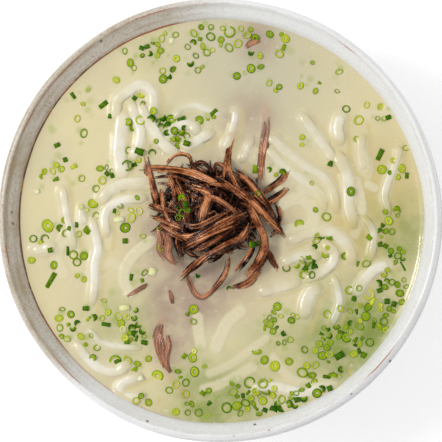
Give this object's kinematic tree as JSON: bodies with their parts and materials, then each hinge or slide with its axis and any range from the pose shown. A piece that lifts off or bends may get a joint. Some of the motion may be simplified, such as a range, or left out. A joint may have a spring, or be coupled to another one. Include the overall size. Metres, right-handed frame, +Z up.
{
  "type": "bowl of kalguksu",
  "caption": "Stoneware bowl of knife-cut wheat noodle soup in milky broth, with sliced scallion and a heap of shredded beef.",
  "frame": {"origin": "middle of the foot ring, on the surface that the bowl stands on", "axes": "+Z up; +X to the right and +Y to the top of the picture, which looks down into the bowl"},
  "size_m": [0.2, 0.2, 0.0828],
  "materials": {
    "stoneware": "satin grey-white glaze, breaking brown on the edges, with dark specks",
    "broth": "opaque milky broth, wet",
    "noodle": "cooked wheat noodle, pale cream, wet",
    "beef": "braised shredded beef, fibrous, moist",
    "scallion": "raw sliced scallion, dark green to yellow-green, wet"
  },
  "bodies": {
    "root": {"bowl": "stoneware", "broth": "broth", "noodles": "noodle", "beef_heap": "beef", "beef_shred_front": "beef", "beef_shred_back": "beef", "beef_bit_left": "beef", "beef_bit_mid": "beef"}
  },
  "joints": []
}
